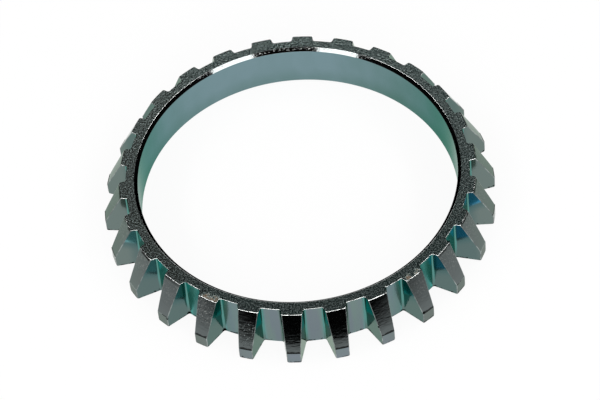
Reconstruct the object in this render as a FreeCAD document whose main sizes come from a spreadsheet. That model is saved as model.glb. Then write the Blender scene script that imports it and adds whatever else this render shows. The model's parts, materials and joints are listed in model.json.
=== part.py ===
# ABS tone ring: a toothed steel ring that is pressed onto a drive-shaft joint, where its teeth pass a wheel-speed
# sensor. It is one piece: a blank is turned with a plain bore and a conical rim that ends in a short straight band,
# and the gaps between the teeth are then cut straight through it, parallel to the bore.
# Frame: +Z is the axis of the bore, z = 0 is the flat wide end that the ring lies on, and a tooth is centred on -Y.
# All sizes are in millimetres and degrees.

import FreeCAD, Part
import math
import os

import Sketcher

DIMENSIONS = [
    ("bore_diameter", 84.0, "bore that grips the joint"),
    ("hub_wall", 3.1, "metal between the bore and the floors of the gaps"),
    ("land_reach", 1.6, "how far the teeth stand out from the floors at the narrow end"),
    ("cone_flare", 5.0, "how much further they stand out at the foot of the cone"),
    ("cone_height", 10.0, "cone, along the axis"),
    ("band_height", 4.0, "straight band at the wide end, along the axis"),
    ("lead_chamfer", 1.4, "bore edge at the wide end, 45 degrees"),
    ("bore_chamfer", 0.85, "bore edge at the narrow end, 45 degrees"),
    ("edge_break", 0.2, "broken outer edges of the teeth and gaps, 45 degrees"),
    ("tooth_count", 26, "teeth, and as many gaps"),
    ("gap_floor_width", 5.0, "gap's floor from flank to flank, before its corners are rounded"),
    ("gap_flank_angle", 16.75, "lean of each flank from the middle of its gap"),
    ("gap_corner_radius", 0.6, "round between a gap's floor and its flank"),
    ("cutter_overrun", 3.0, "how far the gap's outline runs past the rim"),
]

BORE_RADIUS = "dims.bore_diameter / 2"
ROOT_RADIUS = f"{BORE_RADIUS} + dims.hub_wall"
LAND_RADIUS = f"{ROOT_RADIUS} + dims.land_reach"
RIM_RADIUS = f"{LAND_RADIUS} + dims.cone_flare"
RING_HEIGHT = "dims.band_height + dims.cone_height"
GAP_REACH = f"{RIM_RADIUS} + dims.cutter_overrun"

# A sketch counts the points of a line or arc up from 1, and its own axes down from -1, the horizontal one first.
START, END, CENTRE = range(1, 4)
HORIZONTAL_AXIS = -START
ORIGIN = (HORIZONTAL_AXIS, START)

SMOOTH_JOIN = math.radians(5)


def make_sheet(doc):
    """The driving dimensions, one row each: value, alias and what it is."""
    sheet = doc.addObject("Spreadsheet::Sheet", "dims")
    for row, (alias, value, meaning) in enumerate(DIMENSIONS, start=1):
        sheet.set(f"A{row}", alias)
        sheet.set(f"B{row}", str(value))
        sheet.set(f"C{row}", meaning)
        sheet.setAlias(f"B{row}", alias)
    doc.recompute()
    return sheet


def origin_feature(body, role):
    """A plane or axis of the body's own origin."""
    return next(item for item in body.Origin.OriginFeatures if item.Role == role)


def new_sketch(body, name, plane_role):
    sketch = body.newObject("Sketcher::SketchObject", name)
    sketch.AttachmentSupport = (origin_feature(body, plane_role), [""])
    sketch.MapMode = "FlatFace"
    return sketch


def hold(sketch, kind, *where):
    """Adds a constraint that has no size."""
    sketch.addConstraint(Sketcher.Constraint(kind, *where))


def drive(sketch, kind, *where, size):
    """Adds a constraint whose size follows an expression of the sheet's values."""
    index = sketch.addConstraint(Sketcher.Constraint(kind, *where, sketch.evalExpression(size)))
    sketch.setExpression(f"Constraints[{index}]", size)


def blank_profile(sketch, sheet):
    """Half section of the turned blank: bore, two bore chamfers, wide end, band, cone and narrow end."""
    bore = sheet.evalExpression(BORE_RADIUS)
    rim = sheet.evalExpression(RIM_RADIUS)
    land = sheet.evalExpression(LAND_RADIUS)
    top = sheet.evalExpression(RING_HEIGHT)
    corners = [
        (bore + sheet.lead_chamfer, 0),
        (rim, 0),
        (rim, sheet.band_height),
        (land, top),
        (bore + sheet.bore_chamfer, top),
        (bore, top - sheet.bore_chamfer),
        (bore, sheet.lead_chamfer),
    ]
    points = [FreeCAD.Vector(x, y, 0) for x, y in corners]
    wide_end, band, cone, narrow_end, top_chamfer, wall, low_chamfer = range(len(points))
    for start, end in zip(points, points[1:] + points[:1]):
        sketch.addGeometry(Part.LineSegment(start, end), False)
    for line in range(len(points)):
        hold(sketch, "Coincident", line, END, (line + 1) % len(points), START)
    for line in (wide_end, narrow_end):
        hold(sketch, "Horizontal", line)
    for line in (band, wall):
        hold(sketch, "Vertical", line)
    hold(sketch, "PointOnObject", wide_end, START, HORIZONTAL_AXIS)
    drive(sketch, "DistanceX", *ORIGIN, wall, START, size=BORE_RADIUS)
    drive(sketch, "DistanceX", *ORIGIN, band, START, size=RIM_RADIUS)
    drive(sketch, "DistanceX", *ORIGIN, cone, END, size=LAND_RADIUS)
    drive(sketch, "DistanceY", *ORIGIN, cone, END, size=RING_HEIGHT)
    drive(sketch, "DistanceY", band, START, band, END, size="dims.band_height")
    for line, inner, outer, size in (
        (top_chamfer, END, START, "dims.bore_chamfer"),
        (low_chamfer, START, END, "dims.lead_chamfer"),
    ):
        drive(sketch, "DistanceX", line, inner, line, outer, size=size)
        drive(sketch, "DistanceY", line, END, line, START, size=size)


def flipped(point):
    """The same point on the other side of the gap's middle line."""
    return FreeCAD.Vector(point.x, -point.y, point.z)


def arc(centre, radius, start_angle, end_angle):
    circle = Part.Circle(centre, FreeCAD.Vector(0, 0, 1), radius)
    return Part.ArcOfCircle(circle, start_angle, end_angle)


def gap_outline(sketch, sheet):
    """Plan of one gap about its middle line: a floor on the root circle, two rounded corners, two flanks, a mouth."""
    root = sheet.evalExpression(ROOT_RADIUS)
    reach = sheet.evalExpression(GAP_REACH)
    half_floor = sheet.gap_floor_width / 2
    lean = math.radians(sheet.gap_flank_angle)
    corner = sheet.gap_corner_radius

    # The flank leaves the root circle at its foot. The corner's centre lies on a line beside the flank, one corner
    # radius nearer the middle, where that line is one corner radius outside the root circle.
    foot = FreeCAD.Vector(math.sqrt(root**2 - half_floor**2), half_floor, 0)
    along_flank = FreeCAD.Vector(math.cos(lean), math.sin(lean), 0)
    to_metal = FreeCAD.Vector(-math.sin(lean), math.cos(lean), 0)
    beside = foot - to_metal * corner
    step = math.sqrt((beside * along_flank) ** 2 - beside.Length**2 + (root + corner) ** 2) - beside * along_flank
    centre = beside + along_flank * step
    flank_start = centre + to_metal * corner
    flank_end = foot + along_flank * ((reach - foot.x) / math.cos(lean))
    floor_half_angle = math.atan2(centre.y, centre.x)
    to_metal_angle = math.pi / 2 + lean

    floor = sketch.addGeometry(arc(FreeCAD.Vector(), root, -floor_half_angle, floor_half_angle), False)
    left_corner = sketch.addGeometry(arc(centre, corner, to_metal_angle, math.pi + floor_half_angle), False)
    right_corner = sketch.addGeometry(
        arc(flipped(centre), corner, math.pi - floor_half_angle, 2 * math.pi - to_metal_angle), False
    )
    left_flank = sketch.addGeometry(Part.LineSegment(flank_start, flank_end), False)
    right_flank = sketch.addGeometry(Part.LineSegment(flipped(flank_start), flipped(flank_end)), False)
    mouth = sketch.addGeometry(Part.LineSegment(flipped(flank_end), flank_end), False)
    foot_mark = sketch.addGeometry(Part.Point(foot), True)

    hold(sketch, "Coincident", floor, CENTRE, *ORIGIN)
    hold(sketch, "Tangent", floor, END, left_corner, END)
    hold(sketch, "Tangent", floor, START, right_corner, START)
    hold(sketch, "Tangent", left_corner, START, left_flank, START)
    hold(sketch, "Tangent", right_corner, END, right_flank, START)
    hold(sketch, "Equal", left_corner, right_corner)
    hold(sketch, "Coincident", mouth, START, right_flank, END)
    hold(sketch, "Coincident", mouth, END, left_flank, END)
    hold(sketch, "Symmetric", mouth, START, mouth, END, HORIZONTAL_AXIS)
    hold(sketch, "PointOnObject", foot_mark, START, left_flank)
    hold(sketch, "PointOnObject", foot_mark, START, floor)
    drive(sketch, "Radius", floor, size=ROOT_RADIUS)
    drive(sketch, "Radius", left_corner, size="dims.gap_corner_radius")
    drive(sketch, "DistanceX", *ORIGIN, mouth, START, size=GAP_REACH)
    drive(sketch, "DistanceY", *ORIGIN, foot_mark, START, size="dims.gap_floor_width / 2")
    flank_lean = sketch.addConstraint(Sketcher.Constraint("Angle", *ORIGIN, left_flank, START, lean))
    sketch.setExpression(f"Constraints[{flank_lean}]", "dims.gap_flank_angle * 1 deg")


def outer_edges(shape, sheet):
    """Names of the sharp edges of the teeth and gaps, which all lie further out than the chamfers of the bore."""
    bore = sheet.evalExpression(BORE_RADIUS)
    root = sheet.evalExpression(ROOT_RADIUS)
    chamfer_reach = bore + max(sheet.lead_chamfer, sheet.bore_chamfer)
    clear_of_chamfers = (chamfer_reach + root) / 2
    names = []
    for number, edge in enumerate(shape.Edges, start=1):
        middle = edge.valueAt((edge.FirstParameter + edge.LastParameter) / 2)
        if math.hypot(middle.x, middle.y) < clear_of_chamfers:
            continue
        normals = [
            face.normalAt(*face.Surface.parameter(middle)) for face in shape.ancestorsOfType(edge, Part.Face)
        ]
        if len(normals) == 2 and normals[0].getAngle(normals[1]) > SMOOTH_JOIN:
            names.append(f"Edge{number}")
    return names


def make_ring(doc, sheet):
    """The turned blank, the cut gaps and the broken outer edges, as one body."""
    body = doc.addObject("PartDesign::Body", "tone_ring")
    body.Label = "tone_ring"

    profile = new_sketch(body, "blank_profile", "XZ_Plane")
    blank_profile(profile, sheet)
    blank = body.newObject("PartDesign::Revolution", "turned_blank")
    blank.Profile = profile
    blank.ReferenceAxis = (profile, ["V_Axis"])
    blank.Angle = 360
    doc.recompute()
    blank_volume = body.Shape.Volume

    outline = new_sketch(body, "gap_outline", "XY_Plane")
    gap_outline(outline, sheet)
    # The first gap starts half a pitch round from -Y, so that a tooth is centred there at any tooth count.
    outline.setExpression("AttachmentOffset.Rotation.Angle", "-90 deg + 180 deg / dims.tooth_count")
    gap = body.newObject("PartDesign::Pocket", "gap")
    gap.Profile = outline
    gap.Type = "ThroughAll"
    gap.Midplane = True
    doc.recompute()
    gap_volume = blank_volume - body.Shape.Volume

    gaps = body.newObject("PartDesign::PolarPattern", "gaps")
    gaps.Originals = [gap]
    gaps.Axis = (origin_feature(body, "Z_Axis"), [""])
    gaps.Angle = 360
    gaps.setExpression("Occurrences", "dims.tooth_count")
    body.Tip = gaps
    doc.recompute()
    cut_volume = blank_volume - body.Shape.Volume
    print(f"one gap {gap_volume:.2f} mm3, all gaps {cut_volume:.2f} mm3, ratio {cut_volume / gap_volume:.3f}")

    breaks = body.newObject("PartDesign::Chamfer", "edge_breaks")
    breaks.Base = (gaps, outer_edges(gaps.Shape, sheet))
    breaks.setExpression("Size", "dims.edge_break")
    body.Tip = breaks
    doc.recompute()
    return body


def check(doc, parts):
    """Stops if an object failed to compute, or a part is not one sound solid."""
    failed = [item.Name for item in doc.Objects if {"Invalid", "Error"} & set(item.State)]
    if failed:
        raise RuntimeError(f"these objects failed: {failed}")
    for part in parts:
        shape = part.Shape
        if shape.isNull() or not shape.isValid() or len(shape.Solids) != 1:
            raise RuntimeError(f"{part.Label} is not one valid solid")
        print(f"{part.Label}: {shape.Volume:.1f} mm3")


def main():
    doc = FreeCAD.newDocument("tone_ring")
    sheet = make_sheet(doc)
    parts = [make_ring(doc, sheet)]
    doc.recompute()
    check(doc, parts)
    os.makedirs("parts", exist_ok=True)
    for part in parts:
        part.Shape.exportStep(f"parts/{part.Label}.step")


main()
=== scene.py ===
# The looks of an ABS tone ring: turned and cut steel with a bright zinc coat, lying on its flat wide end.
# One fine mesh stands for the CAD ring and keeps its form. It adds the small rounds of worn edges and the
# step that the turning tool left. Grain, nicks, rust, the coat's colours, painted shade and painted
# reflections are in the materials.
# Lengths are in metres. The frame is the CAD's: +Z along the bore, z = 0 under the ring, a tooth on -Y.

import json
import math

import bpy
import numpy as np
from mathutils import Matrix, Vector


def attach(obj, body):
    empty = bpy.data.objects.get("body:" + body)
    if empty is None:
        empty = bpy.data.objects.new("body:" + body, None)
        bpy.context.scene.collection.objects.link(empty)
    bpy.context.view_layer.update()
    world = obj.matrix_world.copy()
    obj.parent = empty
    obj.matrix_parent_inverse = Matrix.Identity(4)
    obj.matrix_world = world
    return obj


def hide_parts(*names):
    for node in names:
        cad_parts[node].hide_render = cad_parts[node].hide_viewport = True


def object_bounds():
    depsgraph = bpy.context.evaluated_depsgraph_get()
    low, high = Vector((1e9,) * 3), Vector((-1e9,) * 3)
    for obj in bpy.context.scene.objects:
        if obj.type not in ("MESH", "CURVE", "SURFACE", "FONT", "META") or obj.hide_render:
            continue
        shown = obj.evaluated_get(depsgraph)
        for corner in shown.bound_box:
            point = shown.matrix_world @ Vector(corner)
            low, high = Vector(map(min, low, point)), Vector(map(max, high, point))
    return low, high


MM = 0.001

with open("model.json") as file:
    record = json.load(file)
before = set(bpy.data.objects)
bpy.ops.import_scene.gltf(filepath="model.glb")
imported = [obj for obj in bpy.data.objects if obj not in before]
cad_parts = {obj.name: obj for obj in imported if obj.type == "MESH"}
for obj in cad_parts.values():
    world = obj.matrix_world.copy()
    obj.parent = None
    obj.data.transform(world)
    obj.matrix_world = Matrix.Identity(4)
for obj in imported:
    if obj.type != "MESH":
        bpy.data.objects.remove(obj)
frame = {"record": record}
CAD_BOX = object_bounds()
BORE = next(mount for mount in frame["record"]["mounts"] if mount["name"] == "bore")

# The ring's form, from the frame where it says so, and else as the part has it.
TEETH = 26
PITCH = 2 * math.pi / TEETH
RIM_RADIUS = CAD_BOX[1].y
HEIGHT = CAD_BOX[1].z
BORE_RADIUS = BORE["dims"]["r_mm"] * MM
BORE_LOW = BORE["pos_m"][2] - BORE["dims"]["length_mm"] * MM / 2
BORE_HIGH = BORE["pos_m"][2] + BORE["dims"]["length_mm"] * MM / 2
BAND_HEIGHT = 4.0 * MM
CONE_FLARE = 5.0 * MM
ROOT_RADIUS = BORE_RADIUS + 3.1 * MM
GAP_HALF_FLOOR = 2.5 * MM
GAP_LEAN = math.radians(16.75)
GAP_CORNER = 0.6 * MM

# The rounds of the worn edges, which are sharp or have a flat break in the part.
TOP_ROUND = 0.13 * MM
LOW_ROUND = 0.42 * MM
SIDE_ROUND = 0.18 * MM
LIP_ROUND = 0.18 * MM
SILL_ROUND = 0.04 * MM

# The upright edges' round grows to this size at both ends, over these lengths.
END_ROUND = 0.48 * MM
LOW_END = 1.4 * MM
TOP_END = 1.0 * MM

# The step and the run-out that the turning tool left where the cone meets the band.
STEP_RISE = 0.05 * MM
STEP_DEPTH = 0.09 * MM
RUN_OUT = 3.2 * MM

# Steps of the mesh along each part of a gap and a tooth.
AROUND = {"floor": 4, "corner": 8, "flank": 8, "round": 3, "crest": 5}

# How far to each side of a row, as a share of its strip, the slope of the skin is taken for the normals.
SLOPE_REACH = 0.01

# The photograph's view, fitted to the ring: where the camera stands, what it aims at and how it is turned.
IMAGE_WIDTH = 600
FOCAL_PIXELS = 3091.2
SENSOR_WIDTH_MM = 36.0
CAMERA_TURN = math.radians(6.357)
CAMERA_ELEVATION = math.radians(51.527)
CAMERA_ROLL = math.radians(-5.943)
CAMERA_DISTANCE = 0.8197
AIM_RIGHT = -0.00015
AIM_UP = 0.00098


def toward(azimuth, elevation):
    """Unit vector from the ring towards the camera's side (azimuth 0), turning to the camera's right."""
    turn = CAMERA_TURN + azimuth
    flat = math.cos(elevation)
    return Vector((math.sin(turn) * flat, -math.cos(turn) * flat, math.sin(elevation)))


def on_ring(tooth, radius, height):
    """A place by its tooth number, counted from the tooth on -Y, and its radius and height in millimetres."""
    angle = tooth * PITCH - math.pi / 2
    return (radius * MM * math.cos(angle), radius * MM * math.sin(angle), height * MM)


# Section and plan of the ring

def polar(angle):
    return np.array([math.cos(angle), math.sin(angle)])


def run_to_circle(start, along, radius):
    """How far a point goes in a direction until it lies at a radius from the axis."""
    reach = start @ along
    return math.sqrt(reach**2 - start @ start + radius**2) - reach


def half_pitch_plan(outer, side_round):
    """Plan of half a pitch at one outer radius, from the middle of a gap on +X to the middle of a tooth.

    Returns the places, their outward normals, and for each the kind of wall that starts there.
    """
    foot = np.array([math.sqrt(ROOT_RADIUS**2 - GAP_HALF_FLOOR**2), GAP_HALF_FLOOR])
    along = polar(GAP_LEAN)
    to_metal = polar(GAP_LEAN + math.pi / 2)
    beside = foot - to_metal * GAP_CORNER
    corner_centre = beside + along * run_to_circle(beside, along, ROOT_RADIUS + GAP_CORNER)
    flank_start = corner_centre + to_metal * GAP_CORNER
    floor_angle = math.atan2(corner_centre[1], corner_centre[0])
    inside = flank_start + to_metal * side_round
    round_centre = inside + along * run_to_circle(inside, along, outer - side_round)
    flank_end = round_centre - to_metal * side_round
    round_start = math.atan2(-to_metal[1], -to_metal[0])
    round_end = math.atan2(round_centre[1], round_centre[0])

    points = []
    for i in range(AROUND["floor"]):
        angle = floor_angle * i / AROUND["floor"]
        points.append(("floor", ROOT_RADIUS * polar(angle), polar(angle)))
    corner_turn = math.pi / 2 - GAP_LEAN + floor_angle
    for i in range(AROUND["corner"]):
        angle = math.pi + floor_angle - corner_turn * i / AROUND["corner"]
        points.append(("corner", corner_centre + GAP_CORNER * polar(angle), -polar(angle)))
    for i in range(AROUND["flank"]):
        share = i / AROUND["flank"]
        points.append(("flank", flank_start * (1 - share) + flank_end * share, -to_metal))
    for i in range(AROUND["round"]):
        angle = round_start + (round_end - round_start) * i / AROUND["round"]
        points.append(("arris", round_centre + side_round * polar(angle), polar(angle)))
    for i in range(AROUND["crest"] + 1):
        angle = round_end + (PITCH / 2 - round_end) * i / AROUND["crest"]
        points.append(("crest", outer * polar(angle), polar(angle)))
    kinds, places, normals = zip(*points)
    return list(places), list(normals), list(kinds)


def ring_plan(outer, side_round):
    """The whole plan at one outer radius, once round from the middle of a gap."""
    places, normals, kinds = half_pitch_plan(outer, side_round)
    # The other half of the tooth is this half seen in a mirror along the tooth's middle line.
    axis = polar(PITCH / 2)
    mirror = 2 * np.outer(axis, axis) - np.eye(2)
    places += [mirror @ place for place in places[-2:0:-1]]
    normals += [mirror @ normal for normal in normals[-2:0:-1]]
    # A wall's kind is kept where it starts, so the mirrored half takes the kinds one place later.
    kinds = kinds[:-1] + kinds[-2::-1]
    all_places, all_normals = [], []
    for tooth in range(TEETH):
        angle = -math.pi / 2 + (tooth - 0.5) * PITCH
        turn = np.array([[math.cos(angle), -math.sin(angle)], [math.sin(angle), math.cos(angle)]])
        all_places.extend(turn @ place for place in places)
        all_normals.extend(turn @ normal for normal in normals)
    return np.array(all_places), np.array(all_normals), kinds * TEETH


def outer_radius(z):
    """Radius of the teeth at height z: the straight band, the step the tool left above it, and the cone."""
    rise = max(z - BAND_HEIGHT, 0.0)
    run_out = STEP_DEPTH * max(1.0 - rise / RUN_OUT, 0.0) ** 2 * min(rise / STEP_RISE, 1.0)
    return RIM_RADIUS - rise * CONE_FLARE / (HEIGHT - BAND_HEIGHT) - run_out


def upright_round(z):
    """Size of the round on the upright edges of the teeth, which grows towards their two ends."""
    low = max(1 - z / LOW_END, 0.0)
    high = max(1 - (HEIGHT - z) / TOP_END, 0.0)
    return SIDE_ROUND + (END_ROUND - SIDE_ROUND) * max(low, high) ** 2


def plan_at(z):
    return ring_plan(outer_radius(z), upright_round(z))


PLAN_KINDS = plan_at(0.0)[2]
CIRCLE_TURNS = np.linspace(0.0, 2 * math.pi, len(PLAN_KINDS), endpoint=False) - (math.pi + PITCH) / 2
CIRCLE = np.column_stack([np.cos(CIRCLE_TURNS), np.sin(CIRCLE_TURNS)])


def mix(start, end, share):
    return start * (1 - share) + end * share


def at_height(flat, z):
    return np.column_stack([flat, np.full(len(flat), z)])


def side_points(z, inset=0.0):
    places, normals, _ = plan_at(z)
    return at_height(places - normals * inset, z)


def circle_points(radius, z):
    return at_height(radius * CIRCLE, z)


def face_points(z, inset, inner_radius, share):
    """Points on a flat end: share 0 is the toothed rim, share 1 the inner circle."""
    return mix(side_points(z, inset), circle_points(inner_radius, z), share)


def round_points(radius, z, size, tip):
    """Points on a round edge of the bore, about its section's middle, where its face tips up by an angle."""
    tip = math.radians(tip)
    return circle_points(radius - size * math.cos(tip), z + size * math.sin(tip))


def skin_strips():
    """The ring's skin, up the teeth, over the narrow end, down the bore and out along the wide end.

    Each strip is its name, its steps, the plan that it follows and a function that gives its points at a
    share of the way across it.
    """
    foot, top = BAND_HEIGHT + STEP_RISE, HEIGHT - TOP_ROUND
    chamfer_top = BORE_RADIUS + HEIGHT - BORE_HIGH
    lead_in = BORE_RADIUS + BORE_LOW
    lip = (chamfer_top + LIP_ROUND * math.tan(math.pi / 8), HEIGHT - LIP_ROUND, LIP_ROUND)
    sill = (BORE_RADIUS + SILL_ROUND, BORE_HIGH - SILL_ROUND * math.tan(math.pi / 8), SILL_ROUND)

    def low_round(share):
        turn = math.pi / 2 * share
        return side_points(LOW_ROUND * (1 - math.cos(turn)), LOW_ROUND * (1 - math.sin(turn)))

    def top_round(share):
        turn = math.pi / 2 * share
        return side_points(top + TOP_ROUND * math.sin(turn), TOP_ROUND * (1 - math.cos(turn)))

    def cut_chamfer(share):
        return mix(round_points(*lip, 45), round_points(*sill, 45), share)

    def cut_lead_in(share):
        return circle_points(mix(BORE_RADIUS, lead_in, share), mix(BORE_LOW, 0.0, share))

    return [
        ("low_round", 4, "teeth", low_round),
        ("band", 3, "teeth", lambda share: side_points(mix(LOW_ROUND, LOW_END, share))),
        ("band", 2, "teeth", lambda share: side_points(mix(LOW_END, BAND_HEIGHT, share))),
        ("step", 1, "teeth", lambda share: side_points(mix(BAND_HEIGHT, foot, share))),
        ("cone", 12, "teeth", lambda share: side_points(mix(foot, HEIGHT - TOP_END, share))),
        ("cone", 3, "teeth", lambda share: side_points(mix(HEIGHT - TOP_END, top, share))),
        ("top_round", 4, "teeth", top_round),
        ("land", 4, "flat", lambda share: face_points(HEIGHT, TOP_ROUND, lip[0], share)),
        ("lip", 4, "circle", lambda share: round_points(*lip, mix(90, 45, share))),
        ("chamfer", 1, "circle", cut_chamfer),
        ("chamfer", 3, "circle", lambda share: round_points(*sill, mix(45, 0, share))),
        ("bore", 2, "circle", lambda share: circle_points(BORE_RADIUS, mix(sill[1], BORE_LOW, share))),
        ("lead_in", 1, "circle", cut_lead_in),
        ("wide_end", 3, "flat", lambda share: face_points(0.0, LOW_ROUND, lead_in, 1 - share)),
    ]


def wall_normals(plan, surface, share):
    """Exact normals of a strip at a share of the way across it. Zeros leave a flat face its own normal."""
    if plan == "flat":
        return np.zeros((len(PLAN_KINDS), 3))
    outward = plan_at(surface(share)[0, 2])[1] if plan == "teeth" else CIRCLE
    around = at_height(np.column_stack([-outward[:, 1], outward[:, 0]]), 0.0)
    across = surface(min(share + SLOPE_REACH, 1.0)) - surface(max(share - SLOPE_REACH, 0.0))
    normals = np.cross(around, across)
    return normals / np.linalg.norm(normals, axis=1, keepdims=True)


# The ring's mesh

MATERIAL_ORDER = [
    "land", "cone", "band", "arris", "flank", "corner", "floor", "edge", "lip", "chamfer", "bore", "wide_end",
]

# Strips of the skin that take the material of another strip.
SHARED_MATERIAL = {"low_round": "band", "step": "cone", "top_round": "edge", "lead_in": "wide_end"}


def wall_material(strip, kind):
    """Which material a wall has, from its strip of the skin and its part of the plan."""
    if strip in ("low_round", "band", "step", "cone") and kind != "crest":
        return kind
    return SHARED_MATERIAL.get(strip, strip)


def build_ring():
    """One closed mesh, row by row along the strips, with its materials by number and its exact normals."""
    columns = len(PLAN_KINDS)
    strips = skin_strips()
    rows = [surface(i / steps) for _, steps, _, surface in strips for i in range(steps)]
    faces, materials, smooth, normals = [], [], [], []
    for name, steps, plan, surface in strips:
        for i in range(steps):
            low = len(faces)
            high = (low + columns) % (len(rows) * columns)
            low_normals = wall_normals(plan, surface, i / steps)
            high_normals = wall_normals(plan, surface, (i + 1) / steps)
            for u in range(columns):
                w = (u + 1) % columns
                faces.append((low + u, low + w, high + w, high + u))
                materials.append(MATERIAL_ORDER.index(wall_material(name, PLAN_KINDS[u])))
                smooth.append(plan != "flat")
                normals += [low_normals[u], low_normals[w], high_normals[w], high_normals[u]]
    mesh = bpy.data.meshes.new("tone_ring_skin")
    mesh.from_pydata(np.concatenate(rows).tolist(), [], faces)
    mesh.polygons.foreach_set("material_index", materials)
    mesh.polygons.foreach_set("use_smooth", smooth)
    mesh.update()
    mesh.normals_split_custom_set(normals)
    ring = bpy.data.objects.new("tone_ring_skin", mesh)
    bpy.context.scene.collection.objects.link(ring)
    return ring


# Nodes

def add(tree, kind, settings=None, **inputs):
    """A node with its settings and its inputs, where an input is a value or another node's output.

    An input goes by its socket's name, with _ for each space, or by _ and the socket's number.
    """
    node = tree.nodes.new(kind)
    for name, value in (settings or {}).items():
        setattr(node, name, value)
    for name, value in inputs.items():
        socket = node.inputs[int(name[1:])] if name[0] == "_" else node.inputs[name.replace("_", " ")]
        if isinstance(value, bpy.types.NodeSocket):
            tree.links.new(value, socket)
        else:
            socket.default_value = value
    return node


def math_node(tree, operation, *values):
    inputs = {f"_{i}": value for i, value in enumerate(values)}
    return add(tree, "ShaderNodeMath", {"operation": operation}, **inputs).outputs[0]


def measure(tree, operation, *vectors):
    """The number that a vector operation gives, such as a length or a distance."""
    inputs = {f"_{i}": vector for i, vector in enumerate(vectors)}
    return add(tree, "ShaderNodeVectorMath", {"operation": operation}, **inputs).outputs["Value"]


def ramp(tree, value, start, end, low=0.0, high=1.0):
    """Moves smoothly from low to high as the value goes from start to end."""
    inputs = {"Value": value, "From_Min": start, "From_Max": end, "To_Min": low, "To_Max": high}
    return add(tree, "ShaderNodeMapRange", {"interpolation_type": "SMOOTHSTEP"}, **inputs).outputs[0]


def blend(tree, factor, first, second):
    """Colour between two colours, each a triple or another node's output."""
    inputs = {"_0": factor}
    # A mix node has its two colours in the sockets 6 and 7, and gives the mixed one as output 2.
    for name, colour in (("_6", first), ("_7", second)):
        inputs[name] = (*colour, 1.0) if isinstance(colour, tuple) else colour
    return add(tree, "ShaderNodeMix", {"data_type": "RGBA"}, **inputs).outputs[2]


def ring_coordinates(tree):
    """The place on the ring in metres, and its parts.

    They are the flat direction from the axis, the distance from the axis, the height, how far it lies
    towards the front of the set and towards the right, how far from the set's middle line, and how far across
    its gap it lies from the gap's middle, counted positive on the side away from the front.
    """
    place = add(tree, "ShaderNodeTexCoord").outputs["Object"]
    parts = add(tree, "ShaderNodeSeparateXYZ", None, Vector=place)
    flat = add(tree, "ShaderNodeCombineXYZ", None, X=parts.outputs["X"], Y=parts.outputs["Y"]).outputs[0]
    radius = measure(tree, "LENGTH", flat)
    direction = add(tree, "ShaderNodeVectorMath", {"operation": "NORMALIZE"}, _0=flat).outputs[0]
    forward = measure(tree, "DOT_PRODUCT", place, toward(0.0, 0.0))
    sideways = measure(tree, "DOT_PRODUCT", place, toward(math.pi / 2, 0.0))
    aside = math_node(tree, "ABSOLUTE", sideways)
    turn = math_node(tree, "ARCTAN2", parts.outputs["X"], parts.outputs["Y"])
    past_tooth = math_node(tree, "WRAP", math_node(tree, "SUBTRACT", math.pi, turn), 0.0, PITCH)
    across = math_node(tree, "MULTIPLY", math_node(tree, "SUBTRACT", past_tooth, PITCH / 2), radius)
    outward = math_node(tree, "MULTIPLY", across, math_node(tree, "SIGN", sideways))
    return {
        "place": place, "direction": direction, "radius": radius, "height": parts.outputs["Z"],
        "forward": forward, "sideways": sideways, "aside": aside, "outward": outward,
    }


def turned_noise(tree, at, across, along, detail=2.0):
    """Noise in rings round the axis: across per metre over the tool's path, along per radian on it."""
    scale = {"_0": at["direction"], "Scale": along}
    stretched = add(tree, "ShaderNodeVectorMath", {"operation": "SCALE"}, **scale).outputs[0]
    level = math_node(tree, "MULTIPLY", at["height"], across)
    lift = add(tree, "ShaderNodeCombineXYZ", None, Z=level).outputs[0]
    vector = add(tree, "ShaderNodeVectorMath", {"operation": "ADD"}, _0=stretched, _1=lift).outputs[0]
    reach = math_node(tree, "MULTIPLY", at["radius"], across)
    inputs = {"Vector": vector, "W": reach, "Scale": 1.0, "Detail": detail}
    return add(tree, "ShaderNodeTexNoise", {"noise_dimensions": "4D"}, **inputs).outputs[0]


def grain_noise(tree, at, scale, stretch=(1.0, 1.0, 1.0), detail=2.0):
    """Noise with scale grains to the metre, which a small number in the stretch draws out along that axis."""
    mapped = add(tree, "ShaderNodeMapping", None, Vector=at["place"], Scale=stretch).outputs[0]
    return add(tree, "ShaderNodeTexNoise", None, Vector=mapped, Scale=scale, Detail=detail).outputs[0]


def spots(tree, at, places, radius):
    """1 near each of the places, given as for on_ring, and 0 beyond the radius from them."""
    near = None
    for place in places:
        away = measure(tree, "DISTANCE", at["place"], on_ring(*place))
        near = away if near is None else math_node(tree, "MINIMUM", near, away)
    return ramp(tree, near, 0.5 * radius, radius, 1.0, 0.0)


def bumped(tree, height, distance, strength=1.0, under=None):
    """Normal of a face whose bumps stand as high as the distance where the height is 1."""
    inputs = {"Height": height, "Distance": distance, "Strength": strength}
    if under is not None:
        inputs["Normal"] = under
    return add(tree, "ShaderNodeBump", None, **inputs).outputs[0]


# Materials

# Tones that change from place to place are those of the photograph, which can't tell the coat's own colour
# from what it mirrors. They hold some of both, and the ring keeps them when it is turned.

# Almost black, for nicks and for painted shade.
NICK_AND_SHADE_BLACK = (0.002, 0.002, 0.002)

# Dark nicks: the tooth's number, then radius, height and the nick's own radius in millimetres.
NICKS = [
    (4.42, 45.1, 10.4, 1.0), (5.83, 51.6, 4.1, 0.5), (-1.74, 45.2, 0.6, 1.1), (-2.74, 45.2, 0.6, 0.9),
    (0.26, 45.1, 0.5, 0.6), (2.88, 51.5, 4.3, 0.5), (1.83, 50.4, 6.6, 0.45), (-2.87, 51.6, 3.5, 0.45),
]

# The middles of rust stains on the narrow end and of rough patches on the cone, in the same way.
RUST_STAINS = [(-2.05, 46.0, 14), (-1.85, 46.0, 14), (2.9, 46.2, 14), (3.1, 46.3, 14)]
RUST_RADIUS = 1.6 * MM
ROUGH_PATCHES = [(-1, 48.5, 7), (-2, 48, 11)]
ROUGH_RADIUS = 5.5 * MM

# Heights between which the lower half of the ring's outside passes into the upper half.
UPPER_HALF = (6.0 * MM, 11.0 * MM)

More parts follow.
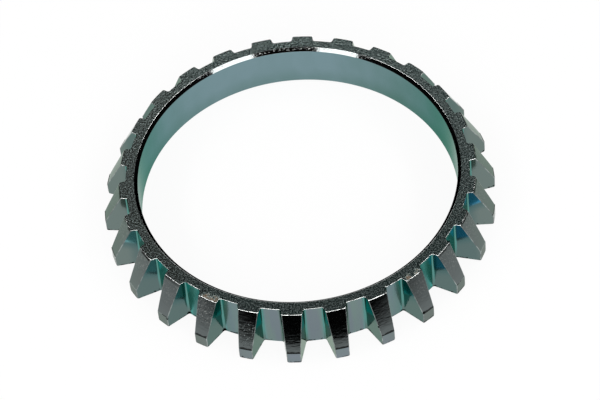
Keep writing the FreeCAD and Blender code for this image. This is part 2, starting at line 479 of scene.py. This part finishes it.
# Distances from the set's middle line between which the front gaps pass into the ones at the two sides.
SIDE_GAPS = (19.0 * MM, 27.0 * MM)

# How far from the middle of a gap's floor the thick coat, with its painted reflection, starts, at the narrow
# end and on the set's middle line. For each metre aside it starts nearer by COAT_SHIFT, and for every
# COAT_SLOPE metres down it starts a metre further.
COAT_START = 6.0 * MM
COAT_SHIFT = 0.265
COAT_SLOPE = 3.6

# How high the thick coat and its painted reflection start on the flanks at the root, and how much higher for
# each metre further out.
FLANK_LINE = 7.8 * MM
FLANK_RISE = 0.5


def colour_with_nicks(tree, at, shader, colour):
    """Gives the shader its colour, and makes it almost black and dull where nicks are and where shade is
    painted along the lower edge.
    """
    # Painted shade sits in short dashes along the lower edge, where the ring meets the floor.
    ragged = math_node(tree, "MULTIPLY_ADD", grain_noise(tree, at, 1100.0), -4.0 * MM, at["height"])
    dark = ramp(tree, ragged, -1.8 * MM, -1.4 * MM, 0.85, 0.0)
    for *place, size in NICKS:
        dark = math_node(tree, "MAXIMUM", dark, spots(tree, at, [place], size * MM))
    tree.links.new(blend(tree, dark, colour, NICK_AND_SHADE_BLACK), shader.inputs["Base Color"])
    tree.links.new(math_node(tree, "SUBTRACT", 1.0, dark), shader.inputs["Metallic"])


def broached_normal(tree, at):
    """Normal of a wall of a gap, with the fine lines that the cutter left along the bore."""
    return bumped(tree, grain_noise(tree, at, 1800.0, (1.0, 1.0, 0.08)), 0.01 * MM)


def zinc(name, colour, roughness, edge_tint=(1.0, 1.0, 1.0)):
    """A metal material and its parts: colour head on, roughness, and tint at a grazing angle."""
    material = bpy.data.materials.new(name)
    material.use_nodes = True
    tree = material.node_tree
    tree.nodes.clear()
    shader = add(tree, "ShaderNodeBsdfPrincipled", None, Metallic=1.0, Roughness=roughness)
    shader.inputs["Base Color"].default_value = (*colour, 1.0)
    shader.inputs["Specular Tint"].default_value = (*edge_tint, 1.0)
    shader.inputs["Specular IOR Level"].default_value = 0.0
    output = add(tree, "ShaderNodeOutputMaterial")
    tree.links.new(shader.outputs[0], output.inputs["Surface"])
    return material, tree, shader


def land_material():
    """The flat narrow end: faced, then tumbled, so it has a fine bright grain, and rust in two places."""
    dull, warm = (0.12, 0.20, 0.19), (0.175, 0.205, 0.175)
    bright, rust = (0.83, 1.0, 0.97), (0.13, 0.06, 0.022)
    material, tree, shader = zinc("zinc_land", dull, 0.22, (0.3, 0.35, 0.34))
    at = ring_coordinates(tree)
    stains = spots(tree, at, RUST_STAINS, RUST_RADIUS)
    patches = ramp(tree, grain_noise(tree, at, 900.0), 0.35, 0.6)
    stained = math_node(tree, "MULTIPLY", math_node(tree, "MULTIPLY", stains, patches), 0.8)
    # There is a little more of the bright grain towards the back.
    away = ramp(tree, at["forward"], 30.0 * MM, 10.0 * MM)
    fine = math_node(tree, "MULTIPLY_ADD", away, 0.03, grain_noise(tree, at, 2500.0, detail=1.0))
    grain = ramp(tree, fine, 0.43, 0.61)
    ground = blend(tree, ramp(tree, at["sideways"], -20.0 * MM, -38.0 * MM), dull, warm)
    speckled = blend(tree, grain, ground, bright)
    tree.links.new(blend(tree, stained, speckled, rust), shader.inputs["Base Color"])
    tree.links.new(math_node(tree, "SUBTRACT", 1.0, stained), shader.inputs["Metallic"])
    normal = bumped(tree, grain_noise(tree, at, 2200.0), 0.05 * MM)
    tree.links.new(normal, shader.inputs["Normal"])
    return material


def cone_material():
    """The turned cone: a smooth face with the fine lines of the tool, and with painted shade along its two
    edges.
    """
    grey, green = (0.135, 0.155, 0.155), (0.145, 0.177, 0.165)
    fleck, painted_dark_colour = (0.6, 0.62, 0.6), (0.02, 0.022, 0.022)
    material, tree, shader = zinc("zinc_cone", grey, 0.06, (0.6, 0.68, 0.62))
    at = ring_coordinates(tree)
    smooth = blend(tree, ramp(tree, at["aside"], 38.0 * MM, 49.0 * MM), grey, green)
    rough_patches = spots(tree, at, ROUGH_PATCHES, ROUGH_RADIUS)
    grain = ramp(tree, grain_noise(tree, at, 3000.0, detail=1.0), 0.52, 0.75)
    high = ramp(tree, at["height"], *UPPER_HALF)
    depth = math_node(tree, "MULTIPLY_ADD", rough_patches, 0.5, 0.25)
    fine = math_node(tree, "MULTIPLY", math_node(tree, "MULTIPLY", grain, high), depth)
    flecked = blend(tree, fine, smooth, fleck)
    # Painted shadow lies in the step above the band: in a ragged line in front, and thin all round.
    ragged = math_node(tree, "MULTIPLY_ADD", grain_noise(tree, at, 900.0), -0.9 * MM, at["height"])
    step_shadow = ramp(tree, ragged, BAND_HEIGHT - 0.1 * MM, BAND_HEIGHT + 0.1 * MM, 0.95, 0.0)
    front = ramp(tree, at["forward"], 34.0 * MM, 44.0 * MM)
    ledge = ramp(tree, at["height"], BAND_HEIGHT + STEP_RISE, BAND_HEIGHT + 2 * STEP_RISE, 0.8, 0.0)
    painted_dark = math_node(tree, "MAXIMUM", math_node(tree, "MULTIPLY", step_shadow, front), ledge)
    # Under the top edge a painted dark reflection lies in dashes towards the two sides.
    dashes = math_node(tree, "MULTIPLY", ramp(tree, grain_noise(tree, at, 700.0), 0.36, 0.46),
                       ramp(tree, at["aside"], 30.0 * MM, 38.0 * MM))
    brow = ramp(tree, at["height"], HEIGHT - 0.8 * MM, HEIGHT - 0.55 * MM)
    painted_dark = math_node(tree, "MAXIMUM", painted_dark, math_node(tree, "MULTIPLY", brow, dashes))
    darkened = blend(tree, painted_dark, flecked, painted_dark_colour)
    colour_with_nicks(tree, at, shader, darkened)
    # The tool's lines are short and wavy, and deeper in the rough patches, where the face also has pits.
    low = ramp(tree, at["height"], *UPPER_HALF, 1.0, 0.4)
    strength = math_node(tree, "MAXIMUM", rough_patches, low)
    normal = bumped(tree, turned_noise(tree, at, 1600.0, 25.0), 0.018 * MM, strength=strength)
    pits = ramp(tree, grain_noise(tree, at, 2400.0, detail=1.0), 0.6, 0.74)
    normal = bumped(tree, pits, 0.013 * MM, strength=rough_patches, under=normal)
    tree.links.new(normal, shader.inputs["Normal"])
    return material


def arris_material():
    """The upright edges of the teeth, where the coat is worn a little brighter."""
    dull, bright = (0.15, 0.17, 0.17), (0.34, 0.38, 0.37)
    material, tree, shader = zinc("zinc_arris", dull, 0.2)
    at = ring_coordinates(tree)
    worn = blend(tree, ramp(tree, grain_noise(tree, at, 500.0), 0.4, 0.65), dull, bright)
    colour_with_nicks(tree, at, shader, worn)
    normal = bumped(tree, grain_noise(tree, at, 1800.0), 0.02 * MM)
    tree.links.new(normal, shader.inputs["Normal"])
    return material


def band_material():
    """The straight band under the cone, in cloudy greys that are darker towards the two sides."""
    grey, violet = (0.19, 0.235, 0.25), (0.20, 0.23, 0.265)
    side_grey, shaded = (0.16, 0.185, 0.175), (0.105, 0.115, 0.11)
    material, tree, shader = zinc("zinc_band", grey, 0.15, (0.62, 0.68, 0.64))
    at = ring_coordinates(tree)
    cloud = blend(tree, ramp(tree, grain_noise(tree, at, 250.0), 0.35, 0.65), grey, violet)
    cloud = blend(tree, ramp(tree, at["aside"], 12.0 * MM, 30.0 * MM), cloud, side_grey)
    cloud = blend(tree, ramp(tree, at["aside"], 39.0 * MM, 45.0 * MM), cloud, shaded)
    colour_with_nicks(tree, at, shader, cloud)
    normal = bumped(tree, turned_noise(tree, at, 2200.0, 6.0), 0.015 * MM)
    tree.links.new(normal, shader.inputs["Normal"])
    return material


def floor_of_gap_material():
    """The floor of a gap: broached along the bore, pale grey with green and violet streaks."""
    violet, green, grey = (0.175, 0.20, 0.225), (0.175, 0.225, 0.215), (0.10, 0.15, 0.15)
    deep, teal, pale = (0.05, 0.15, 0.135), (0.10, 0.31, 0.285), (0.13, 0.33, 0.305)
    streak_teal, front_tint, side_tint = (0.065, 0.23, 0.21), (0.45, 1.0, 0.92), (0.66, 0.78, 0.7)
    material, tree, shader = zinc("zinc_gap_floor", violet, 0.12)
    at = ring_coordinates(tree)
    streak = ramp(tree, grain_noise(tree, at, 400.0, (1.0, 1.0, 0.12)), 0.35, 0.65)
    streaked = blend(tree, streak, violet, green)
    side = ramp(tree, at["aside"], *SIDE_GAPS)
    # In the gaps towards the two sides the thick coat and a painted reflection of the neighbouring tooth
    # cover the floor, but for a corner low down near the front, which grows smaller from gap to gap.
    upper = blend(tree, ramp(tree, at["height"], *UPPER_HALF), grey, deep)
    bare = blend(tree, side, streaked, upper)
    start = math_node(tree, "MULTIPLY_ADD", at["aside"], -COAT_SHIFT, COAT_START)
    rise = math_node(tree, "MULTIPLY_ADD", at["height"], 1 / COAT_SLOPE, -HEIGHT / COAT_SLOPE)
    inside = math_node(tree, "SUBTRACT", math_node(tree, "ADD", at["outward"], rise), start)
    coat_and_reflection = math_node(tree, "MULTIPLY", ramp(tree, inside, -0.6 * MM, 0.6 * MM), side)
    # In the other gaps the coat and the painted reflection lie beside the outer corner only.
    by_corner = math_node(tree, "MULTIPLY", ramp(tree, at["outward"], 1.2 * MM, 2.5 * MM),
                          ramp(tree, at["aside"], 4.0 * MM, 22.0 * MM, 0.4, 0.9))
    coat_and_reflection = math_node(tree, "MAXIMUM", coat_and_reflection, by_corner)
    coat_and_reflection_colour = blend(tree, ramp(tree, at["sideways"], -5.0 * MM, -20.0 * MM), teal, pale)
    coat_and_reflection_colour = blend(tree, math_node(tree, "MULTIPLY", streak, side), coat_and_reflection_colour, streak_teal)
    colour_with_nicks(tree, at, shader, blend(tree, coat_and_reflection, bare, coat_and_reflection_colour))
    edge_tint = blend(tree, ramp(tree, at["aside"], 36.0 * MM, 44.0 * MM), front_tint, side_tint)
    tree.links.new(edge_tint, shader.inputs["Specular Tint"])
    tree.links.new(ramp(tree, at["aside"], *SIDE_GAPS, 0.12, 0.26), shader.inputs["Roughness"])
    tree.links.new(broached_normal(tree, at), shader.inputs["Normal"])
    return material


def corner_material():
    """The round corners of a gap's floor: teal, partly from the thick coat and partly a painted reflection,
    and grey only low down.
    """
    grey, teal = (0.12, 0.17, 0.165), (0.10, 0.27, 0.25)
    material, tree, shader = zinc("zinc_gap_corner", grey, 0.12, (0.66, 0.76, 0.66))
    at = ring_coordinates(tree)
    patchy = math_node(tree, "MULTIPLY_ADD", grain_noise(tree, at, 300.0), 4.0 * MM, at["height"])
    outer = math_node(tree, "MAXIMUM", ramp(tree, at["outward"], -1.0 * MM, 1.0 * MM),
                      ramp(tree, at["aside"], 4.0 * MM, 8.0 * MM, 1.0, 0.0))
    coat_and_reflection = math_node(tree, "MULTIPLY", ramp(tree, patchy, 2.0 * MM, 8.0 * MM), outer)
    colour_with_nicks(tree, at, shader, blend(tree, coat_and_reflection, grey, teal))
    tree.links.new(broached_normal(tree, at), shader.inputs["Normal"])
    return material


def flank_material():
    """The side walls of a gap: grey below, and above, on the front teeth, a deep blue green that is partly
    the thicker coat and partly a painted reflection.
    """
    grey, side_grey = (0.108, 0.162, 0.16), (0.155, 0.20, 0.19)
    pale, teal, blue = (0.20, 0.47, 0.50), (0.08, 0.32, 0.30), (0.06, 0.33, 0.56)
    shade, bare_tint, coat_tint = (0.065, 0.14, 0.145), (0.66, 0.76, 0.66), (0.3, 0.76, 0.72)
    material, tree, shader = zinc("zinc_flank", grey, 0.12)
    at = ring_coordinates(tree)
    # The line between them rises from the root outwards, and is higher towards the two sides of the set.
    above = math_node(tree, "MULTIPLY_ADD", at["radius"], -FLANK_RISE, at["height"])
    higher = ramp(tree, at["aside"], 28.0 * MM, 46.0 * MM, 0.0, 0.5 * MM)
    above = math_node(tree, "SUBTRACT", above, higher)
    line = FLANK_LINE - FLANK_RISE * ROOT_RADIUS
    upper = ramp(tree, above, line - 0.8 * MM, line + 0.8 * MM)
    # Just under the line the grey darkens.
    nearly = ramp(tree, above, line - 4.0 * MM, line - 0.5 * MM, 0.0, 0.75)
    rich = blend(tree, ramp(tree, at["sideways"], -37.0 * MM, -31.0 * MM), pale, teal)
    rich = blend(tree, ramp(tree, at["sideways"], 18.0 * MM, 42.0 * MM), rich, blue)
    # The blue green shows on the front teeth only, where it is partly a painted reflection of the facing
    # wall.
    front = ramp(tree, at["forward"], 5.0 * MM, 14.0 * MM)
    coat_and_reflection = math_node(tree, "MULTIPLY", upper, front)
    bare = blend(tree, ramp(tree, at["aside"], 43.5 * MM, 46.5 * MM), grey, side_grey)
    bare = blend(tree, math_node(tree, "MULTIPLY", nearly, front), bare, shade)
    colour_with_nicks(tree, at, shader, blend(tree, coat_and_reflection, bare, rich))
    tree.links.new(blend(tree, coat_and_reflection, bare_tint, coat_tint), shader.inputs["Specular Tint"])
    tree.links.new(broached_normal(tree, at), shader.inputs["Normal"])
    return material


def edge_material():
    """The worn outline of the narrow end, bright where the coat is polished, with a painted dark reflection
    on the faces that look away from the front.
    """
    dull, black, bright = (0.12, 0.13, 0.13), (0.015, 0.017, 0.017), (0.9, 0.93, 0.91)
    material, tree, shader = zinc("zinc_edge", dull, 0.22, (0.3, 0.3, 0.3))
    at = ring_coordinates(tree)
    face_normal = add(tree, "ShaderNodeTexCoord").outputs["Normal"]
    facing = ramp(tree, measure(tree, "DOT_PRODUCT", face_normal, toward(0.0, 0.0)), 0.15, 0.4)
    patchy = ramp(tree, grain_noise(tree, at, 900.0), 0.32, 0.5)
    # Faces that look away from the front are painted almost black, as a dark reflection.
    base = blend(tree, facing, black, dull)
    worn = math_node(tree, "MULTIPLY", patchy, facing)
    flecks = ramp(tree, grain_noise(tree, at, 1100.0), 0.56, 0.62)
    worn = math_node(tree, "MAXIMUM", worn, flecks)
    tree.links.new(blend(tree, worn, base, bright), shader.inputs["Base Color"])
    normal = bumped(tree, grain_noise(tree, at, 1600.0), 0.08 * MM)
    tree.links.new(normal, shader.inputs["Normal"])
    return material


def lip_material():
    """The worn round edge between the narrow end and the bore's chamfer."""
    dull, bright = (0.5, 0.53, 0.52), (0.9, 0.93, 0.91)
    material, tree, shader = zinc("zinc_lip", dull, 0.12)
    at = ring_coordinates(tree)
    worn = ramp(tree, grain_noise(tree, at, 900.0), 0.35, 0.6)
    tree.links.new(blend(tree, worn, dull, bright), shader.inputs["Base Color"])
    normal = bumped(tree, grain_noise(tree, at, 2600.0), 0.012 * MM)
    tree.links.new(normal, shader.inputs["Normal"])
    return material


def chamfer_material():
    """The chamfer at the bore's narrow end: bright cut metal at the back, and in front a painted dark
    reflection.
    """
    bright, dark, pale = (0.25, 0.27, 0.27), (0.01, 0.014, 0.014), (0.9, 0.93, 0.91)
    material, tree, shader = zinc("zinc_chamfer", bright, 0.05, (0.0, 0.0, 0.0))
    at = ring_coordinates(tree)
    # In front the colour is a painted dark reflection.
    front = ramp(tree, at["forward"], -6.0 * MM, -1.0 * MM)
    # Pale specks stand up a little on its upper part, near the set's middle line.
    speck = math_node(tree, "MULTIPLY", ramp(tree, grain_noise(tree, at, 2600.0, detail=1.0), 0.6, 0.72),
                      ramp(tree, at["aside"], 18.0 * MM, 26.0 * MM, 1.0, 0.0))
    upper = ramp(tree, at["height"], BORE_HIGH + 0.1 * MM, HEIGHT - 0.2 * MM)
    speck = math_node(tree, "MULTIPLY", speck, upper)
    cut_metal_and_reflection = blend(tree, front, bright, dark)
    tree.links.new(blend(tree, speck, cut_metal_and_reflection, pale), shader.inputs["Base Color"])
    normal = bumped(tree, turned_noise(tree, at, 1500.0, 30.0), 0.002 * MM)
    normal = bumped(tree, grain_noise(tree, at, 2600.0), 0.008 * MM, under=normal)
    normal = bumped(tree, speck, 0.025 * MM, under=normal)
    tree.links.new(normal, shader.inputs["Normal"])
    return material


def bore_material():
    """The wall of the bore: blue at the back, and greener low down and towards the two sides."""
    blue, green = (0.185, 0.28, 0.31), (0.11, 0.20, 0.187)
    material, tree, shader = zinc("zinc_bore", blue, 0.2, (0.36, 0.56, 0.47))
    at = ring_coordinates(tree)
    low = ramp(tree, at["height"], BORE_LOW, BORE_LOW + 6.0 * MM, 0.45, 0.0)
    right = ramp(tree, at["sideways"], 5.0 * MM, BORE_RADIUS, 0.0, 0.7)
    left = ramp(tree, at["sideways"], -22.0 * MM, -BORE_RADIUS, 0.0, 0.2)
    cloud = ramp(tree, grain_noise(tree, at, 160.0, (1.0, 1.0, 0.5)), 0.3, 0.7, -0.12, 0.12)
    greened = low
    for more in (right, left, cloud):
        greened = math_node(tree, "ADD", greened, more)
    tree.links.new(blend(tree, greened, blue, green), shader.inputs["Base Color"])
    normal = bumped(tree, turned_noise(tree, at, 1500.0, 5.0), 0.008 * MM)
    tree.links.new(normal, shader.inputs["Normal"])
    return material


def wide_end_material():
    """The flat wide end, which rests on the floor, and its lead-in: a plain turned face."""
    material, tree, shader = zinc("zinc_wide_end", (0.30, 0.36, 0.35), 0.25)
    at = ring_coordinates(tree)
    normal = bumped(tree, grain_noise(tree, at, 3000.0), 0.05 * MM)
    normal = bumped(tree, turned_noise(tree, at, 2600.0, 20.0), 0.05 * MM, under=normal)
    tree.links.new(normal, shader.inputs["Normal"])
    return material


def make_materials():
    """The materials of the ring, in the order in which its faces number them."""
    makers = {
        "land": land_material, "cone": cone_material, "band": band_material, "arris": arris_material,
        "flank": flank_material, "corner": corner_material, "floor": floor_of_gap_material,
        "edge": edge_material, "lip": lip_material, "chamfer": chamfer_material, "bore": bore_material,
        "wide_end": wide_end_material,
    }
    return [makers[name]() for name in MATERIAL_ORDER]


# Stage

# The floor's side, how far it lies under the ring, its colour, and how much it glows white where it is seen.
FLOOR_SIZE = 12.0
FLOOR_DROP = 0.02 * MM
FLOOR_COLOUR = (0.9, 0.9, 0.9, 1.0)
FLOOR_GLOW = 0.92

# The drape's radius, and the heights between which its glow grows from the one strength to the other.
DRAPE_RADIUS = 4.0
DRAPE_FADE = (0.7 * DRAPE_RADIUS, 0.95 * DRAPE_RADIUS)
DRAPE_GLOW = (0.005, 0.1)

# The mat's inner radius, where it has faded to black, its outer radius, its height and its steps round.
MAT_HOLE = 0.06
MAT_FADE = 0.36
MAT_REACH = 3.9
MAT_LIFT = 0.1 * MM
MAT_STEPS = 96

# The world's strength as a lamp. Where it is seen it is white.
WORLD_LIGHT = 0.4

# Soft boxes, all at one distance: azimuth and elevation in degrees, width, height and radiance.
LAMP_DISTANCE = 1.8
LAMPS = {
    "lamp_front": (0.0, 20.0, 2.8, 0.75, 3.5),
    "lamp_right": (35.5, 35.5, 0.69, 0.5, 4.5),
    "lamp_left": (-35.2, 35.5, 0.63, 0.5, 4.5),
    "lamp_back": (180.0, 31.0, 1.3, 0.6, 1.0),
    "lamp_side_right": (92.0, 48.0, 1.65, 0.3, 6.0),
    "lamp_side_left": (-92.0, 48.0, 1.65, 0.3, 6.0),
}


def background_share(tree):
    """1 for rays that show the background itself: the camera's, mirrored ones and ones through glass."""
    path = add(tree, "ShaderNodeLightPath").outputs
    seen = math_node(tree, "MAXIMUM", path["Is Camera Ray"], path["Is Glossy Ray"])
    return math_node(tree, "MAXIMUM", seen, path["Is Transmission Ray"])


def stage_material(name):
    material = bpy.data.materials.new(name)
    material.use_nodes = True
    tree = material.node_tree
    tree.nodes.clear()
    output = add(tree, "ShaderNodeOutputMaterial")
    return material, tree, output.inputs["Surface"]


def floor_material():
    """White to the camera and in mirrors, apart from the ring's shadow, and plain white to other light."""
    material, tree, surface = stage_material("studio_floor")
    share = math_node(tree, "MULTIPLY", background_share(tree), FLOOR_GLOW)
    plain = add(tree, "ShaderNodeBsdfDiffuse")
    plain.inputs["Color"].default_value = FLOOR_COLOUR
    white = add(tree, "ShaderNodeEmission", None, Strength=1.0)
    mixed = add(tree, "ShaderNodeMixShader", None, _0=share, _1=plain.outputs[0], _2=white.outputs[0])
    tree.links.new(mixed.outputs[0], surface)
    return material


def drape_material():
    """Dark cloth round the set, which the metal mirrors: black low down, dim grey near the ceiling."""
    material, tree, surface = stage_material("studio_drape")
    at = add(tree, "ShaderNodeTexCoord").outputs["Object"]
    height = add(tree, "ShaderNodeSeparateXYZ", None, Vector=at).outputs["Z"]
    glow = ramp(tree, height, *DRAPE_FADE, *DRAPE_GLOW)
    cloth = add(tree, "ShaderNodeEmission", None, Strength=glow)
    tree.links.new(cloth.outputs[0], surface)
    return material


def mat_material():
    """A sheet that fades from white near the ring to black further out."""
    material, tree, surface = stage_material("studio_mat")
    at = add(tree, "ShaderNodeTexCoord").outputs["Object"]
    fade = {"Value": measure(tree, "LENGTH", at), "From_Min": MAT_HOLE, "From_Max": MAT_FADE}
    nearness = add(tree, "ShaderNodeMapRange", None, **fade, To_Min=1.0, To_Max=0.0).outputs[0]
    glow = math_node(tree, "POWER", nearness, 2.0)
    cloth = add(tree, "ShaderNodeEmission", None, Strength=glow)
    tree.links.new(cloth.outputs[0], surface)
    return material


def make_mat():
    """A sheet on the floor round the ring, which the teeth mirror: white under them, black further out."""
    points, faces = [], []
    for radius in (MAT_HOLE, MAT_REACH):
        for i in range(MAT_STEPS):
            turn = 2 * math.pi * i / MAT_STEPS
            points.append((radius * math.cos(turn), radius * math.sin(turn), 0.0))
    for i in range(MAT_STEPS):
        following = (i + 1) % MAT_STEPS
        faces.append((i, following, MAT_STEPS + following, MAT_STEPS + i))
    mesh = bpy.data.meshes.new("studio_mat")
    mesh.from_pydata(points, [], faces)
    mesh.materials.append(mat_material())
    mat = bpy.data.objects.new("studio_mat", mesh)
    mat.location.z = MAT_LIFT
    bpy.context.scene.collection.objects.link(mat)
    return mat


def make_stage():
    """The floor, and the drape and the mat, which only the metal's reflections show."""
    bpy.ops.mesh.primitive_plane_add(size=FLOOR_SIZE, location=(0.0, 0.0, -FLOOR_DROP))
    floor = bpy.context.object
    floor.name = "studio_floor"
    floor.data.materials.append(floor_material())
    bpy.ops.mesh.primitive_uv_sphere_add(segments=64, ring_count=32, radius=DRAPE_RADIUS)
    drape = bpy.context.object
    drape.name = "studio_drape"
    drape.data.materials.append(drape_material())
    mat = make_mat()
    for screen in (drape, mat):
        screen.visible_camera = False
        screen.visible_shadow = False
        screen.visible_diffuse = False


def area_lamp(name, azimuth, elevation, width, height, radiance):
    """A soft box that faces the ring, as bright to look at as its radiance says."""
    data = bpy.data.lights.new(name, "AREA")
    data.shape = "RECTANGLE"
    data.size = width
    data.size_y = height
    data.energy = radiance * math.pi * width * height
    lamp = bpy.data.objects.new(name, data)
    direction = toward(math.radians(azimuth), math.radians(elevation))
    lamp.location = direction * LAMP_DISTANCE
    lamp.rotation_mode = "QUATERNION"
    lamp.rotation_quaternion = direction.to_track_quat("Z", "Y")
    bpy.context.scene.collection.objects.link(lamp)


def make_world():
    """White where it is seen, and a plain dim lamp to the ring."""
    world = bpy.data.worlds.new("studio")
    world.use_nodes = True
    tree = world.node_tree
    tree.nodes.clear()
    strength = math_node(tree, "MULTIPLY_ADD", background_share(tree), 1 - WORLD_LIGHT, WORLD_LIGHT)
    white = add(tree, "ShaderNodeBackground", None, Strength=strength)
    white.inputs["Color"].default_value = (1.0, 1.0, 1.0, 1.0)
    output = add(tree, "ShaderNodeOutputWorld")
    tree.links.new(white.outputs[0], output.inputs["Surface"])
    bpy.context.scene.world = world


def make_camera():
    """The photograph's camera, turned about the line of sight by its roll and shifted by its aim."""
    back = toward(0.0, CAMERA_ELEVATION)
    level = Vector((math.cos(CAMERA_TURN), math.sin(CAMERA_TURN), 0.0))
    upright = back.cross(level)
    right = level * math.cos(CAMERA_ROLL) + upright * math.sin(CAMERA_ROLL)
    up = upright * math.cos(CAMERA_ROLL) - level * math.sin(CAMERA_ROLL)
    place = back * CAMERA_DISTANCE + right * AIM_RIGHT + up * AIM_UP
    data = bpy.data.cameras.new("camera")
    data.sensor_width = SENSOR_WIDTH_MM
    data.lens = FOCAL_PIXELS / IMAGE_WIDTH * SENSOR_WIDTH_MM
    data.clip_start = 0.01
    camera = bpy.data.objects.new("camera", data)
    camera.matrix_world = Matrix.Translation(place) @ Matrix((right, up, back)).transposed().to_4x4()
    bpy.context.scene.collection.objects.link(camera)
    bpy.context.scene.camera = camera


def main():
    ring = build_ring()
    for material in make_materials():
        ring.data.materials.append(material)
    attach(ring, "root")
    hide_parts("tone_ring")
    make_stage()
    for name, lamp in LAMPS.items():
        area_lamp(name, *lamp)
    make_world()
    make_camera()
    bpy.context.scene.view_settings.view_transform = "Standard"


main()
